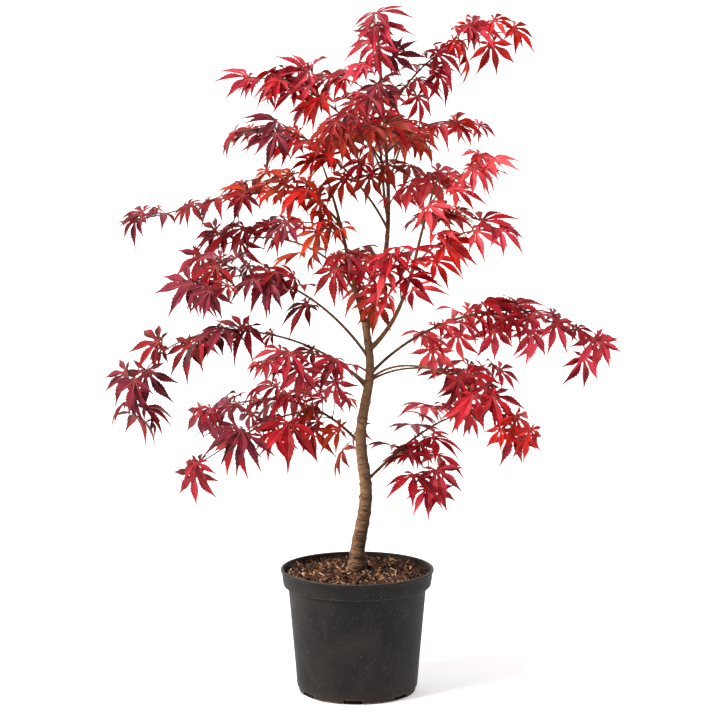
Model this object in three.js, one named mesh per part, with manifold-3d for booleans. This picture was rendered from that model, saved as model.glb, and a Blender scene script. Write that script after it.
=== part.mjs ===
// A Japanese maple in a round nursery pot: pot, potting mix, trunk, leaders, boughs and masses of foliage.
// Millimetres, +Z up, +X to the right of the front view and +Y away from it.
// The origin is the centre of the pot's flat underside.
import * as THREE from 'three';
import { mergeVertices } from 'three/addons/utils/BufferGeometryUtils.js';
import Module from 'manifold-3d';

// ---- Driving dimensions: the pot ----
const POT_HEIGHT = 228;
const RIM_RADIUS = 140;
const COLLAR_RADIUS = 135; // at the lower edge of the band under the rim
const COLLAR_DEPTH = 31;
const WALL_TOP_RADIUS = 126.5; // just under the collar
const WALL_FOOT_RADIUS = 110;
const FOOT_RADIUS = 107;
const FOOT_HEIGHT = 10;
const WALL = 2.6;
const FOOT_EDGE = 1.5; // bevel under the foot
const EDGE = 1; // bevels on the foot's shoulder and under the collar
const BEAD_OUT = 0.6; // the wall's bead over the foot
const BEAD_HEIGHT = 2.5;
const LIP_OUT = 1.6; // the lip on the rim stands out of the collar
const LIP_HEIGHT = 3;
const LIP_UNDERSIDE = 1.5;
const LIP_ROUND = 0.8;
const LIP_TOP = 3;
const LIP_INSIDE = 1.4;
const LIP_INSIDE_HEIGHT = 2;
const NOTCHES = 7; // drain notches round the foot
const NOTCH_WIDTH = 33;
const NOTCH_HEIGHT = 8;
const NOTCH_DEPTH = 12;
const NOTCH_TURN = -94.2; // degrees from +X to the first notch
const POT_SIDES = 35;

// ---- Driving dimensions: the plant ----
const SOIL_TOP = 217.6; // the mix is flat under the trunk and falls away to the pot's edge
const SOIL_EDGE = 213;
const SOIL_BREAK = 0.55; // share of the rim's radius where the mix starts to fall away
const SOIL_SWELL = 1.5;
const GAP = 0.35; // between pieces that touch
const TRUNK_FOOT = SOIL_TOP + GAP;
const TRUNK_TOP = 675; // where the trunk forks
const TRUNK_LEAN = 14; // to the right, over its height
const TRUNK_SWAY = 6.3;
const TRUNK_SWAYS = 1.95; // waves in its height
const TRUNK_SWAY_START = -0.35; // of a wave
const TRUNK_DEPTH_SWAY = 5;
const TRUNK_DEPTH_SWAYS = 1.3;
const TRUNK_THICK = 27;
const TRUNK_TOP_THICK = 13.5;
const FLARE = 8; // added to the thickness at the soil
const FLARE_SHARE = 0.05; // of the trunk's height, over which the flare fades
const TRUNK_SIDES = 12;
const TRUNK_STEPS = 14;
const TRUNK_SUNK = -0.03; // share of its height at which it starts, before it is cut flat
const LIMB_SIDES = 7;
const LIMB_STEP = 42; // length of a limb between its rings
const BOUGH_INSIDE = 0.05; // share of a bough that runs on inside its first mass
const PULL = 0.38; // how far a limb holds its first and last slopes, as a share of its span
const MASS_SIDES = 8;
const MASS_STEPS = 6;
const MASS_GAP = 1.2; // between neighbouring masses
const UNEVEN = 0.2; // swelling of a mass, as a share of its size
const SWELLS_ROUND = 2; // waves of the swelling round a mass
const SWELLS_ALONG = 7; // in radians from end to end
const PINCHES_ROUND = 3;
const PINCHES_ALONG = 11;
const FULLNESS = 0.6; // the lower, the blunter the ends of a mass
const PHASE_STEP = 1.7; // between one mass's swelling and the next's
const STEP = 0.01; // share of a curve over which its direction is taken
const WELD = 1e-4; // points nearer to each other than this are one
const POLE = 1e-6; // nearer to the axis than this, a point is the end of a mass

// Each limb leaves its parent's curve at a share of it (0 foot, 1 tip) and is one smooth curve. toward is its
// compass heading in degrees (0 is +X, 90 is +Y), and veer is how far that swings each way along it. reach
// and rise place its tip, setsOff and ends are its slopes above level, and thick and tip are its diameters.
const LIMB_SIZES = [
  'name', 'parent', 'at', 'toward', 'veer', 'reach', 'rise', 'setsOff', 'ends', 'thick', 'tip',
];
const LEADERS = [
  ['left_leader', 'trunk', 0.985, 128, -10, 130, 290, 68, 50, 10, 3.5],
  ['centre_leader', 'trunk', 0.985, 60, 14, 45, 525, 59, 95, 11, 3],
  ['right_leader', 'trunk', 0.9, 330, 10, 140, 315, 37, 69, 9, 3.5],
  ['back_leader', 'centre_leader', 0.39, 150, 10, 60, 195, 71, 40, 6, 3],
].map(named(LIMB_SIZES));
const BOUGHS = [
  ['low_left', 'trunk', 0.52, 145, 12, 365, 25, 35, -24, 5.6, 2],
  ['weeping_left', 'low_left', 0.27, 198, -12, 264, -92, 14, -26, 4.2, 2],
  ['long_left', 'trunk', 0.74, 190, -12, 412, 24, 53, -67, 5.2, 2],
  ['mid_left', 'trunk', 0.76, 235, 14, 335, 65, 38, -14, 5, 2],
  ['arching_left', 'trunk', 0.86, 207, 10, 340, 130, 57, -39, 5.8, 2],
  ['fourth_left', 'left_leader', 0.15, 148, -10, 335, 70, 67, -30, 5.2, 2],
  ['far_left', 'left_leader', 0.62, 178, 14, 405, 2, 52, -5, 5, 2],
  ['sixth_left', 'centre_leader', 0.35, 206, 12, 310, 160, 63, -37, 5, 2],
  ['seventh_left', 'back_leader', 0.48, 158, -10, 275, 150, 55, -3, 4.2, 2],
  ['top_right', 'centre_leader', 0.72, 14, -12, 240, 165, 63, -1, 4.2, 2],
  ['second_right', 'centre_leader', 0.62, 48, 12, 245, 35, 36, -23, 4.2, 2],
  ['fifth_right', 'right_leader', 0.49, 355, 12, 185, 84, 66, -8, 4.2, 2],
  ['long_right', 'trunk', 0.8, 8, -14, 430, 40, 45, -48, 6, 2],
  ['low_right', 'trunk', 0.78, 328, 12, 312, -84, 38, -56, 4.8, 2],
  ['low_right_back', 'trunk', 0.775, 28, 10, 245, 15, 29, 11, 4.4, 2],
  ['lowest_right', 'trunk', 0.37, 38, 10, 275, 100, 38, -10, 6, 2],
  ['back_mid', 'centre_leader', 0.2, 98, -12, 270, -20, 34, -24, 5, 2],
  ['back_upper', 'centre_leader', 0.5, 80, 10, 230, 80, 50, -20, 4.6, 2],
  ['front_upper', 'centre_leader', 0.5, 250, 12, 225, 120, 55, -12, 4.2, 2],
].map(named(LIMB_SIZES));

// Twigs too thin for a solid of their own: only the masses of leaves on them are made.
const TWIGS = [
  ['fourth_left_front', 'left_leader', 0.48, 240, 12, 190, 55, 45, 5],
  ['pink_right', 'right_leader', 0.84, 338, -10, 150, 64, 64, -28],
  ['pink_inner', 'centre_leader', 0.43, 318, 10, 115, 62, 55, 0],
  ['fourth_right', 'right_leader', 0.79, 50, 10, 140, -10, 26, -21],
  ['inner_right', 'right_leader', 0.34, 272, 10, 150, 108, 50, 4],
  ['inner_front', 'centre_leader', 0.14, 245, 10, 165, 70, 42, -6],
  ['front_top', 'centre_leader', 0.68, 258, -12, 200, 60, 45, -15],
  ['back_top', 'centre_leader', 0.76, 140, 12, 225, 55, 50, -10],
  ['weeping_right', 'lowest_right', 0.46, 300, 12, 36, -98, 10, -84],
].map(named(LIMB_SIZES));

// Each mass of foliage lies along a limb or twig, from one share of its curve to another, where past 1 the
// curve runs on beyond the tip. wide is the mass's half-width, crest its height above the curve and hang its
// depth below.
const MASSES = [
  ['crown_top', 'centre_leader', 0.81, 1.07, 62, 60, 60],
  ['low_left_leaves', 'low_left', 0.08, 1.1, 92, 68, 56],
  ['weeping_left_leaves', 'weeping_left', 0.3, 1.1, 64, 30, 56],
  ['long_left_inner_leaves', 'long_left', 0.4, 0.72, 62, 40, 22],
  ['long_left_outer_leaves', 'long_left', 0.69, 1.25, 72, 32, 56],
  ['mid_left_leaves', 'mid_left', 0.22, 1, 78, 34, 54],
  ['arching_left_leaves', 'arching_left', 0.36, 1.08, 96, 52, 42],
  ['fourth_left_leaves', 'fourth_left', 0.36, 1.1, 82, 50, 40],
  ['fourth_left_front_leaves', 'fourth_left_front', 0.3, 1.1, 70, 30, 48],
  ['far_left_inner_leaves', 'far_left', 0.02, 0.62, 92, 68, 40],
  ['far_left_outer_leaves', 'far_left', 0.6, 1.03, 54, 42, 20],
  ['sixth_left_leaves', 'sixth_left', 0.28, 0.98, 90, 36, 46],
  ['seventh_left_leaves', 'seventh_left', 0.08, 1.1, 84, 66, 34],
  ['top_right_leaves', 'top_right', 0.28, 1.14, 72, 74, 52],
  ['second_right_leaves', 'second_right', 0.16, 1.12, 72, 28, 50],
  ['pink_right_leaves', 'pink_right', 0, 0.98, 76, 66, 38],
  ['pink_inner_leaves', 'pink_inner', 0.15, 1.3, 58, 36, 44],
  ['fourth_right_leaves', 'fourth_right', 0, 0.84, 56, 30, 42],
  ['fifth_right_leaves', 'fifth_right', 0.14, 1.1, 58, 42, 26],
  ['inner_right_leaves', 'inner_right', 0.12, 1.1, 58, 44, 40],
  ['inner_front_leaves', 'inner_front', 0.1, 1.2, 66, 26, 60],
  ['long_right_inner_leaves', 'long_right', 0.24, 0.71, 84, 50, 72],
  ['long_right_outer_leaves', 'long_right', 0.66, 1.08, 64, 10, 100],
  ['low_right_leaves', 'low_right', 0.56, 1.12, 74, 40, 84],
  ['low_right_back_leaves', 'low_right_back', 0.66, 1.2, 60, 14, 56],
  ['lowest_right_leaves', 'lowest_right', 0.26, 1, 80, 72, 40],
  ['weeping_right_leaves', 'weeping_right', 0.25, 1.3, 50, 30, 50],
  ['back_mid_leaves', 'back_mid', 0.3, 1.12, 88, 22, 50],
  ['back_upper_leaves', 'back_upper', 0.25, 1.12, 95, 32, 50],
  ['front_upper_leaves', 'front_upper', 0.2, 1.12, 90, 32, 54],
  ['front_top_leaves', 'front_top', 0.12, 1.12, 72, 34, 50],
  ['back_top_leaves', 'back_top', 0.15, 1.15, 80, 50, 48],
].map(named(['name', 'on', 'from', 'to', 'wide', 'crest', 'hang']));

function named(sizes) {
  return (row) => Object.fromEntries(row.map((value, i) => [sizes[i], value]));
}

const wasm = await Module();
wasm.setup();

function toSolid(geometry) {
  geometry.deleteAttribute('normal');
  geometry.deleteAttribute('uv');
  const merged = mergeVertices(geometry, WELD);
  const triVerts = [];
  const index = merged.index.array;
  for (let i = 0; i < index.length; i += 3) {
    const [a, b, c] = [index[i], index[i + 1], index[i + 2]];
    if (a !== b && b !== c && c !== a) triVerts.push(a, b, c);
  }
  const mesh = new wasm.Mesh({
    numProp: 3,
    vertProperties: new Float32Array(merged.attributes.position.array),
    triVerts: new Uint32Array(triVerts),
  });
  return new wasm.Manifold(mesh);
}

function toGeometry(solid) {
  const mesh = solid.getMesh();
  const geometry = new THREE.BufferGeometry();
  geometry.setAttribute('position', new THREE.BufferAttribute(new Float32Array(mesh.vertProperties), 3));
  geometry.setIndex(new THREE.BufferAttribute(new Uint32Array(mesh.triVerts), 1));
  return geometry;
}

// A cut can leave chips beside the piece itself: only the largest body is kept.
function largest(solid) {
  return solid.decompose().reduce((best, body) => (body.volume() > best.volume() ? body : best));
}

function meet(a, b) {
  const [p, q] = [a.boundingBox(), b.boundingBox()];
  return [0, 1, 2].every((i) => p.min[i] < q.max[i] && q.min[i] < p.max[i]);
}

function cutRound(solid, others) {
  let rest = solid;
  for (const other of others) {
    if (meet(rest, other)) rest = largest(rest.subtract(other));
  }
  return rest;
}

const potMaterial = new THREE.MeshStandardMaterial({ color: 0x383534, roughness: 0.75, metalness: 0 });
const soilMaterial = new THREE.MeshStandardMaterial({ color: 0x4d382b, roughness: 0.95, metalness: 0 });
const barkMaterial = new THREE.MeshStandardMaterial({ color: 0x745843, roughness: 0.85, metalness: 0 });
const leafMaterial = new THREE.MeshStandardMaterial({ color: 0x8c2426, roughness: 0.6, metalness: 0 });

const tree = new THREE.Group();

function add(name, geometry, material) {
  const mesh = new THREE.Mesh(geometry, material);
  mesh.name = name;
  tree.add(mesh);
}

// A profile of [radius, height] pairs turned about the Z axis.
function turned(profile, sides) {
  const points = profile.map(([radius, height]) => new THREE.Vector2(radius, height));
  const geometry = new THREE.LatheGeometry(points, sides);
  geometry.rotateX(Math.PI / 2);
  return geometry;
}

// ---- The pot: one moulding with a banded rim, a stepped foot and drain notches through the foot ----
const collarFoot = POT_HEIGHT - COLLAR_DEPTH;
const collarSlope = (RIM_RADIUS - COLLAR_RADIUS) / COLLAR_DEPTH;
const potProfile = [
  [0, 0],
  [FOOT_RADIUS - FOOT_EDGE, 0],
  [FOOT_RADIUS, FOOT_EDGE],
  [FOOT_RADIUS + EDGE, FOOT_HEIGHT - EDGE],
  [WALL_FOOT_RADIUS, FOOT_HEIGHT],
  [WALL_FOOT_RADIUS + BEAD_OUT, FOOT_HEIGHT + BEAD_HEIGHT],
  [WALL_TOP_RADIUS, collarFoot],
  [COLLAR_RADIUS - EDGE, collarFoot],
  [COLLAR_RADIUS, collarFoot + EDGE],
  [RIM_RADIUS - LIP_OUT, POT_HEIGHT - LIP_HEIGHT - LIP_UNDERSIDE],
  [RIM_RADIUS, POT_HEIGHT - LIP_HEIGHT],
  [RIM_RADIUS, POT_HEIGHT - LIP_ROUND],
  [RIM_RADIUS - LIP_ROUND, POT_HEIGHT],
  [RIM_RADIUS - LIP_TOP, POT_HEIGHT],
  [RIM_RADIUS - WALL - LIP_INSIDE, POT_HEIGHT - LIP_INSIDE_HEIGHT],
  [COLLAR_RADIUS - WALL + BEAD_OUT, collarFoot + WALL + EDGE],
  [COLLAR_RADIUS - WALL - EDGE, collarFoot + WALL],
  [WALL_TOP_RADIUS - WALL, collarFoot + WALL - BEAD_OUT],
  [WALL_FOOT_RADIUS - WALL, FOOT_HEIGHT],
  [FOOT_RADIUS - WALL - EDGE, WALL],
  [0, WALL],
];
let pot = toSolid(turned(potProfile, POT_SIDES));
for (let k = 0; k < NOTCHES; k += 1) {
  const box = new THREE.BoxGeometry(NOTCH_DEPTH * 2, NOTCH_WIDTH, NOTCH_HEIGHT * 2);
  box.translate(FOOT_RADIUS + EDGE, 0, 0);
  box.rotateZ(THREE.MathUtils.degToRad(NOTCH_TURN + (k * 360) / NOTCHES));
  pot = pot.subtract(toSolid(box));
}
add('pot', toGeometry(pot), potMaterial);

// ---- The potting mix: it fills the pot to just under the rim and stands a little higher at the trunk ----
const soilEdgeRadius = COLLAR_RADIUS + collarSlope * (SOIL_EDGE - collarFoot) - WALL - LIP_OUT;
const soilProfile = [
  [0, WALL + GAP],
  [FOOT_RADIUS - WALL - EDGE - GAP, WALL + GAP],
  [WALL_FOOT_RADIUS - WALL - GAP, FOOT_HEIGHT],
  [WALL_TOP_RADIUS - WALL - GAP, collarFoot + WALL + GAP],
  [COLLAR_RADIUS - WALL - EDGE, collarFoot + WALL + GAP],
  [COLLAR_RADIUS - WALL - GAP, collarFoot + WALL + EDGE + GAP],
  [soilEdgeRadius, SOIL_EDGE],
  [RIM_RADIUS * SOIL_BREAK, (SOIL_TOP + SOIL_EDGE) / 2 + SOIL_SWELL],
  [TRUNK_THICK, SOIL_TOP],
  [0, SOIL_TOP],
];
add('soil', turned(soilProfile, POT_SIDES), soilMaterial);

// ---- The curves of the trunk and limbs ----
class TrunkCurve extends THREE.Curve {
  getPoint(share, target = new THREE.Vector3()) {
    const wave = 2 * Math.PI * (TRUNK_SWAYS * share + TRUNK_SWAY_START);
    const sway = TRUNK_SWAY * (Math.sin(wave) - Math.sin(2 * Math.PI * TRUNK_SWAY_START));
    const x = TRUNK_LEAN * share + sway;
    const y = TRUNK_DEPTH_SWAY * Math.sin(2 * Math.PI * TRUNK_DEPTH_SWAYS * share);
    return target.set(x, y, TRUNK_FOOT + (TRUNK_TOP - TRUNK_FOOT) * share);
  }
}

function heading(compass, slope) {
  const [turn, tilt] = [compass, slope].map(THREE.MathUtils.degToRad);
  return new THREE.Vector3(Math.cos(turn) * Math.cos(tilt), Math.sin(turn) * Math.cos(tilt), Math.sin(tilt));
}

function limbCurve({ at, toward, veer, reach, rise, setsOff, ends }, parent) {
  const start = parent.getPoint(at);
  const end = heading(toward, 0).multiplyScalar(reach).add(start);
  end.z += rise;
  const pull = PULL * Math.hypot(reach, rise);
  const first = heading(toward - veer, setsOff).multiplyScalar(pull).add(start);
  const last = heading(toward + veer, ends).multiplyScalar(-pull).add(end);
  return new THREE.CubicBezierCurve3(start, first, last, end);
}

// level is the level direction square to a limb's heading: its cross-sections keep to it, and none twists.
const curves = { trunk: new TrunkCurve() };
curves.trunk.level = heading(-90, 0);
for (const limb of [...LEADERS, ...BOUGHS, ...TWIGS]) {
  curves[limb.name] = limbCurve(limb, curves[limb.parent]);
  curves[limb.name].level = heading(limb.toward - 90, 0);
}

// Bends a straight piece, which runs along Y from -1 to 1 about the Y axis, along a curve. place gives, for
// each of its points, the share of the curve it goes to and how far out it stands there, aside and upward.
function bent(geometry, curve, place) {
  const position = geometry.attributes.position;
  const point = new THREE.Vector3();
  for (let i = 0; i < position.count; i += 1) {
    const { share, aside, above, beyond } = place(point.fromBufferAttribute(position, i));
    const along = curve.getPoint(share + STEP).sub(curve.getPoint(share - STEP)).normalize();
    const up = new THREE.Vector3().crossVectors(curve.level, along).normalize();
    const side = new THREE.Vector3().crossVectors(along, up);
    const at = curve.getPoint(share).addScaledVector(side, aside).addScaledVector(up, above);
    at.addScaledVector(along, beyond);
    position.setXYZ(i, at.x, at.y, at.z);
  }
  return toSolid(geometry);
}

// A tapering rod along a curve from one share of it to another.
function rod(curve, from, to, radiusAt, sides, steps, grow) {
  const geometry = new THREE.CylinderGeometry(1, 1, 2, sides, steps);
  return bent(geometry, curve, ({ x, y, z }) => {
    const share = from + ((to - from) * (y + 1)) / 2;
    const radius = radiusAt(share) + grow;
    const atEnd = Math.abs(y) > 1 - STEP;
    return { share, aside: x * radius, above: z * radius, beyond: atEnd ? Math.sign(y) * grow : 0 };
  });
}

// A rod is whole on a leader, and on a bough it ends a little inside the first mass of leaves.
function limbRod(limb, grow) {
  const masses = MASSES.filter(({ on }) => on === limb.name);
  const whole = LEADERS.includes(limb) || masses.length === 0;
  const to = whole ? 1 : Math.min(...masses.map(({ from }) => from)) + BOUGH_INSIDE;
  const radiusAt = (share) => THREE.MathUtils.lerp(limb.thick, limb.tip, share) / 2;
  const steps = Math.round((to * Math.hypot(limb.reach, limb.rise)) / LIMB_STEP);
  return rod(curves[limb.name], 0, to, radiusAt, LIMB_SIDES, Math.max(steps, 3), grow);
}

function trunkRadius(share) {
  const flare = FLARE * Math.exp(-Math.max(share, 0) / FLARE_SHARE);
  return (THREE.MathUtils.lerp(TRUNK_THICK, TRUNK_TOP_THICK, share) + flare) / 2;
}

// Cut flat where it meets the ground, and rounded off by its own end at the fork.
function trunkRod(grow) {
  const below = new THREE.BoxGeometry(RIM_RADIUS, RIM_RADIUS, POT_HEIGHT);
  below.translate(0, 0, TRUNK_FOOT - POT_HEIGHT / 2);
  const whole = rod(curves.trunk, TRUNK_SUNK, 1, trunkRadius, TRUNK_SIDES, TRUNK_STEPS, grow);
  return whole.subtract(toSolid(below));
}

// A closed, uneven solid along part of a curve. Waves of its own phase swell and pinch it all round.
function massSolid({ on, from, to, wide, crest, hang }, phase, grow) {
  const geometry = new THREE.SphereGeometry(1, MASS_SIDES, MASS_STEPS);
  return bent(geometry, curves[on], ({ x, y, z }) => {
    const along = Math.acos(THREE.MathUtils.clamp(-y, -1, 1)) / Math.PI;
    const ring = Math.hypot(x, z);
    const pole = ring < POLE;
    const turn = Math.atan2(z, x);
    const wave = Math.sin(SWELLS_ROUND * turn + SWELLS_ALONG * along + phase);
    const pinch = Math.cos(PINCHES_ROUND * turn + PINCHES_ALONG * along + phase);
    const girth = pole ? 0 : Math.sin(Math.PI * along) ** FULLNESS * (1 + UNEVEN * wave * pinch);
    const tall = z > 0 ? crest : hang;
    return {
      share: from + (to - from) * along,
      aside: pole ? 0 : Math.cos(turn) * (wide * girth + grow),
      above: pole ? 0 : Math.sin(turn) * (tall * girth + grow),
      beyond: pole ? Math.sign(y) * grow : 0,
    };
  });
}

// ---- Trunk, leaders, boughs and masses, each cut clear of all those made before it ----
const made = [];

function fit(name, solid, grown, material) {
  add(name, toGeometry(cutRound(solid, made)), material);
  made.push(grown);
}

fit('trunk', trunkRod(0), trunkRod(GAP), barkMaterial);
for (const limb of [...LEADERS, ...BOUGHS]) {
  fit(limb.name, limbRod(limb, 0), limbRod(limb, GAP), barkMaterial);
}
MASSES.forEach((mass, i) => {
  const phase = i * PHASE_STEP;
  fit(mass.name, massSolid(mass, phase, 0), massSolid(mass, phase, MASS_GAP), leafMaterial);
});

export default tree;
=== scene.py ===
"""A Japanese maple in a round nursery pot: the looks of every piece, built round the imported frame.

The scene is in metres, +Z up, with +X to the right of the front view and +Y away from it. The plant's own
measures are in millimetres, as they are for the frame's solids, and MM brings them to metres.
"""

import math
import random

import bpy
from mathutils import Matrix, Vector, noise


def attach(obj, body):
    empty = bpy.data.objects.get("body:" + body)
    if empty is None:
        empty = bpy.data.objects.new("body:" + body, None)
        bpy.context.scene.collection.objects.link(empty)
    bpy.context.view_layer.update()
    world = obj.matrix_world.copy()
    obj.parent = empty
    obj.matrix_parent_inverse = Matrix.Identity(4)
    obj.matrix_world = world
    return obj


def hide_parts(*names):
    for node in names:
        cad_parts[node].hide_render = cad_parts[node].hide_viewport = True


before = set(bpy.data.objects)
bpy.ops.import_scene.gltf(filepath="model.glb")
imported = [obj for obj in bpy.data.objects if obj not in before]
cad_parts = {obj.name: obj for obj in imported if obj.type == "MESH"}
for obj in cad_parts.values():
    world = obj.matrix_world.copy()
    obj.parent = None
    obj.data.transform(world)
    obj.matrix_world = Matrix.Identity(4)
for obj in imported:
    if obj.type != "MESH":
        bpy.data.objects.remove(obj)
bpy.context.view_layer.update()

MM = 0.001

# ------------------------------------------------------------------------------
# Studio
# A long lens looks slightly down at the plant from the front. The floor runs back and curves up into a pale
# wall. Broad sunlight falls from the front left, with a weak fill from the right and a soft light above.
CAMERA_PLACE = Vector((0.005, -4.0, 1.135))
CAMERA_DOWN = math.radians(7.46)
LENS = 111.5
SUN_POWER = 3.8
SUN_SPREAD = math.radians(20)
SUN_WAY = Vector((0.9, 0.55, -0.85))
FILL_POWER = 5
TOP_POWER = 28
SKY_POWER = 0.3
FLOOR_GLOW = 0.42
BLACK = (0, 0, 0, 1)
WHITE = (1, 1, 1, 1)

camera = bpy.data.objects.new("camera", bpy.data.cameras.new("camera"))
camera.data.lens = LENS
camera.data.sensor_width = 36
camera.data.clip_end = 60
camera.location = CAMERA_PLACE
camera.rotation_euler = (math.pi / 2 - CAMERA_DOWN, 0, 0)
bpy.context.scene.collection.objects.link(camera)
bpy.context.scene.camera = camera
bpy.context.scene.view_settings.view_transform = "Standard"


def soft_light(name, place, aim, size, power, tint):
    """A square area light at place, turned to face aim."""
    light = bpy.data.lights.new(name, "AREA")
    light.shape = "SQUARE"
    light.size = size
    light.energy = power
    light.color = tint
    holder = bpy.data.objects.new(name, light)
    holder.location = place
    holder.rotation_euler = (Vector(aim) - Vector(place)).to_track_quat("-Z", "Y").to_euler()
    bpy.context.scene.collection.objects.link(holder)


sun = bpy.data.objects.new("window_light", bpy.data.lights.new("window_light", "SUN"))
sun.data.energy = SUN_POWER
sun.data.angle = SUN_SPREAD
sun.data.color = (1.0, 0.985, 0.96)
sun.rotation_euler = SUN_WAY.to_track_quat("-Z", "Y").to_euler()
bpy.context.scene.collection.objects.link(sun)
soft_light("fill_light", (3.2, -2.4, 1.8), (0, 0, 0.6), 2.4, FILL_POWER, (0.96, 0.98, 1.0))
soft_light("top_light", (0.3, 1.4, 3.4), (0, 0, 0.7), 2.0, TOP_POWER, (1.0, 1.0, 1.0))

world = bpy.data.worlds.new("studio")
world.use_nodes = True
world.node_tree.nodes["Background"].inputs["Color"].default_value = WHITE
world.node_tree.nodes["Background"].inputs["Strength"].default_value = SKY_POWER
bpy.context.scene.world = world


class Shape:
    """The points and faces of a piece, gathered bit by bit."""

    def __init__(self, points=(), faces=()):
        self.points = list(points)
        self.faces = list(faces)

    def add(self, point):
        """Takes in a point and gives its number."""
        self.points.append(point)
        return len(self.points) - 1


def new_piece(name, shape, material, smooth=True, sharp_over=None):
    """A mesh object of a shape, linked to the scene. Edges folded by over sharp_over degrees stay sharp."""
    mesh = bpy.data.meshes.new(name)
    mesh.from_pydata(shape.points, [], shape.faces)
    mesh.materials.append(material)
    mesh.polygons.foreach_set("use_smooth", [smooth] * len(mesh.polygons))
    if sharp_over is not None:
        mesh.set_sharp_from_angle(angle=math.radians(sharp_over))
    mesh.update()
    piece = bpy.data.objects.new(name, mesh)
    bpy.context.scene.collection.objects.link(piece)
    return piece


def new_material(name, **sockets):
    """A material with a Principled shader and the given values on the shader's own sockets."""
    material = bpy.data.materials.new(name)
    material.use_nodes = True
    shader = material.node_tree.nodes["Principled BSDF"]
    for socket, value in sockets.items():
        shader.inputs[socket.replace("_", " ")].default_value = value
    return material, material.node_tree, shader


def shade(red, green, blue):
    """A colour given in everyday 0 to 255 values, as the shader's linear red, green, blue and alpha."""
    linear = [((v / 255 + 0.055) / 1.055) ** 2.4 if v > 10 else v / 3295 for v in (red, green, blue)]
    return (*linear, 1.0)


FLOOR_HALF = 6.0
WALL_BEND = 1.5
WALL_HEIGHT = 5.0
FLOOR_GAP = 0.0004  # keeps the floor's face clear of the pot's
floor_rows = [(-FLOOR_HALF, 0.0), (FLOOR_HALF - WALL_BEND, 0.0)]
for angle in range(10, 91, 10):
    a = math.radians(angle)
    floor_rows.append((FLOOR_HALF - WALL_BEND + WALL_BEND * math.sin(a), WALL_BEND * (1 - math.cos(a))))
floor_rows.append((FLOOR_HALF, WALL_HEIGHT))
floor_points = [(x, y, z - FLOOR_GAP) for y, z in floor_rows for x in (-2 * FLOOR_HALF, 2 * FLOOR_HALF)]
floor_faces = [(2 * i, 2 * i + 1, 2 * i + 3, 2 * i + 2) for i in range(len(floor_rows) - 1)]
floor_glow = {"Emission_Color": WHITE, "Emission_Strength": FLOOR_GLOW}
floor_material, _, _ = new_material("floor", Base_Color=shade(244, 244, 244), Roughness=0.9, **floor_glow)
new_piece("floor", Shape(floor_points, floor_faces), floor_material)

# ------------------------------------------------------------------------------
# Pot
# A round nursery pot moulded in one piece of black polypropylene: a rolled rim over a plain band, a tapering
# wall with a fine matt grain, and a stepped foot with drain notches. It has been handled, watered and stood
# on soil.
POT_HEIGHT = 228
RIM_RADIUS = 140
COLLAR_RADIUS = 135
COLLAR_DEPTH = 31
WALL_TOP_RADIUS = 126.5
WALL_FOOT_RADIUS = 110
FOOT_RADIUS = 107
FOOT_HEIGHT = 10
WALL = 2.6
NOTCHES = 7
NOTCH_WIDTH = 33
NOTCH_HEIGHT = 8
NOTCH_DEPTH = 6
NOTCH_BEVEL = 2.2
NOTCH_SILL = FOOT_RADIUS - NOTCH_DEPTH - 0.4
NOTCH_FOOT = FOOT_RADIUS - 2.2  # each notch's back wall leans out to here on the floor
CHAFED_EDGE = 1.7
NOTCH_TURN = -94.2  # compass angle of the first notch, in degrees
POT_COLUMNS = 24  # in the plain stretch from one notch to the next
QUARTERS = (0, 0.25, 0.5, 0.75, 1)
collar_foot = POT_HEIGHT - COLLAR_DEPTH


def bent(start, knee, end, shares):
    """Points at shares of the way along a line that leaves start toward knee and bends round to end."""
    return [start * (1 - t) ** 2 + knee * 2 * t * (1 - t) + end * t**2 for t in shares]


def rounded(corner, before, after, radius):
    """Points that round a profile's corner, which lies between the points before and after it."""
    corner = Vector(corner)
    into = (Vector(before) - corner).normalized() * radius + corner
    out = (Vector(after) - corner).normalized() * radius + corner
    return bent(into, corner, out, QUARTERS)


def profile(*corners):
    """A profile of (radius, height, rounding) corners as a list of (radius, height) points."""
    made = []
    for i, (radius, height, rounding) in enumerate(corners):
        if rounding:
            made += rounded((radius, height), corners[i - 1][:2], corners[i + 1][:2], rounding)
        else:
            made.append(Vector((radius, height)))
    return made


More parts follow.
